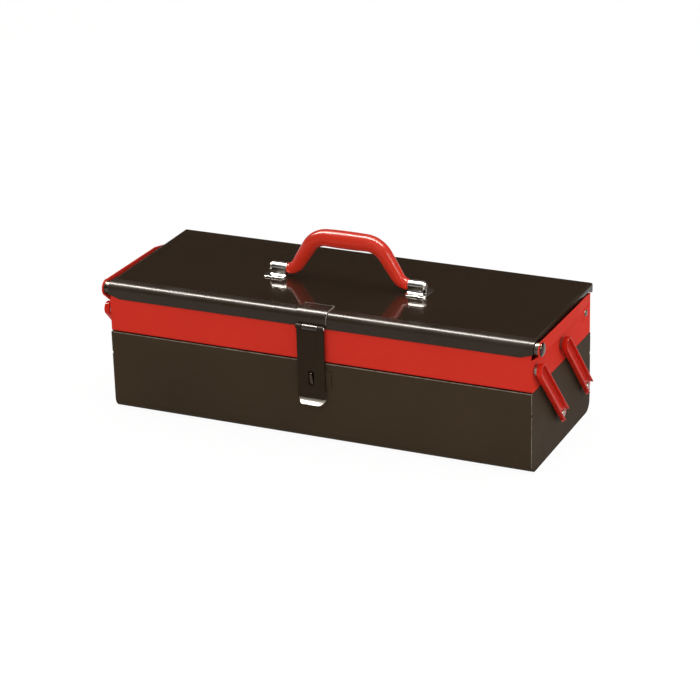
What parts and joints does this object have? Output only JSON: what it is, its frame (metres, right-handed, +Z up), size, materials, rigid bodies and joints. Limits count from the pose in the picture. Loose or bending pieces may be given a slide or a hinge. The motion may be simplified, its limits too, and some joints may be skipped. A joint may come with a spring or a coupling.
{
  "type": "cantilever tool box",
  "caption": "Sheet-steel cantilever tool box: deep base, full-depth tray that swings up and back on parallel arms, rear-hinged lid with bail handle and hasp.",
  "frame": {"origin": "middle of the base's resting face", "axes": "+X along the box to the right as seen from the hasp, +Y to the rear, +Z up"},
  "size_m": [0.47, 0.179, 0.1902],
  "materials": {
    "dark_paint": "glossy dark brown-grey enamel",
    "red_paint": "satin signal red enamel",
    "hasp_paint": "near-black brown enamel",
    "zinc_steel": "bright zinc plate",
    "chrome": "polished chrome plate",
    "red_plastic": "glossy moulded red plastic"
  },
  "bodies": {
    "base": {"base_shell": "dark_paint", "base_end_left": "dark_paint", "base_end_right": "dark_paint", "keeper_plate": "dark_paint", "keeper_rivets": "zinc_steel", "staple": "chrome", "base_rivets_left": "zinc_steel", "base_rivets_right": "zinc_steel", "base_spacers_left": "zinc_steel", "base_spacers_right": "zinc_steel"},
    "front_arms": {"front_arm_left": "red_paint", "front_arm_right": "red_paint"},
    "rear_arms": {"rear_arm_left": "red_paint", "rear_arm_right": "red_paint"},
    "tray": {"tray_shell": "red_paint", "tray_end_left": "red_paint", "tray_end_right": "red_paint", "tray_rivets_left": "red_paint", "tray_rivets_right": "red_paint", "tray_spacers_left": "zinc_steel", "tray_spacers_right": "zinc_steel", "catch_stud_left": "chrome", "catch_stud_right": "chrome", "stud_washers_left": "zinc_steel", "stud_washers_right": "zinc_steel", "lid_pivot_left": "zinc_steel", "lid_pivot_right": "zinc_steel"},
    "lid": {"lid_panel": "dark_paint", "hinge_lug_left": "dark_paint", "hinge_lug_right": "dark_paint", "hasp_leaf": "hasp_paint", "hasp_pin": "zinc_steel", "bracket_left": "chrome", "bracket_right": "chrome", "bracket_rivets": "chrome"},
    "hasp": {"hasp_plate": "hasp_paint", "hasp_lip": "zinc_steel"},
    "handle": {"handle_rod": "zinc_steel", "handle_grip": "red_plastic"}
  },
  "joints": [
    {"name": "tray_swing", "type": "hinge", "parent": "base", "child": "front_arms", "pos_m": [0, -0.0075, 0.034], "axis": [-1, 0, 0], "range_deg": [0, 85.8]},
    {"name": "tray_level", "type": "hinge", "parent": "front_arms", "child": "tray", "pos_m": [0, -0.0735, 0.105], "axis": [-1, 0, 0], "range_deg": [-86, 0]},
    {"name": "rear_swing", "type": "hinge", "parent": "base", "child": "rear_arms", "pos_m": [0, 0.064, 0.034], "axis": [-1, 0, 0], "range_deg": [0, 86]},
    {"name": "lid_hinge", "type": "hinge", "parent": "tray", "child": "lid", "pos_m": [0, 0.069, 0.1095], "axis": [-1, 0, 0], "range_deg": [0, 96]},
    {"name": "hasp_hinge", "type": "hinge", "parent": "lid", "child": "hasp", "pos_m": [-0.002, -0.0872, 0.121], "axis": [-1, 0, 0], "range_deg": [0, 172]},
    {"name": "handle_swivel", "type": "hinge", "parent": "lid", "child": "handle", "pos_m": [0, 0, 0.1436], "axis": [1, 0, 0], "range_deg": [-85, 85]}
  ],
  "couplings": [
    {"joint": "tray_level", "follows": "tray_swing", "ratio": -1},
    {"joint": "rear_swing", "follows": "tray_swing", "ratio": 1},
    {"joint": "hasp_hinge", "follows": "tray_swing", "ratio": 2}
  ]
}
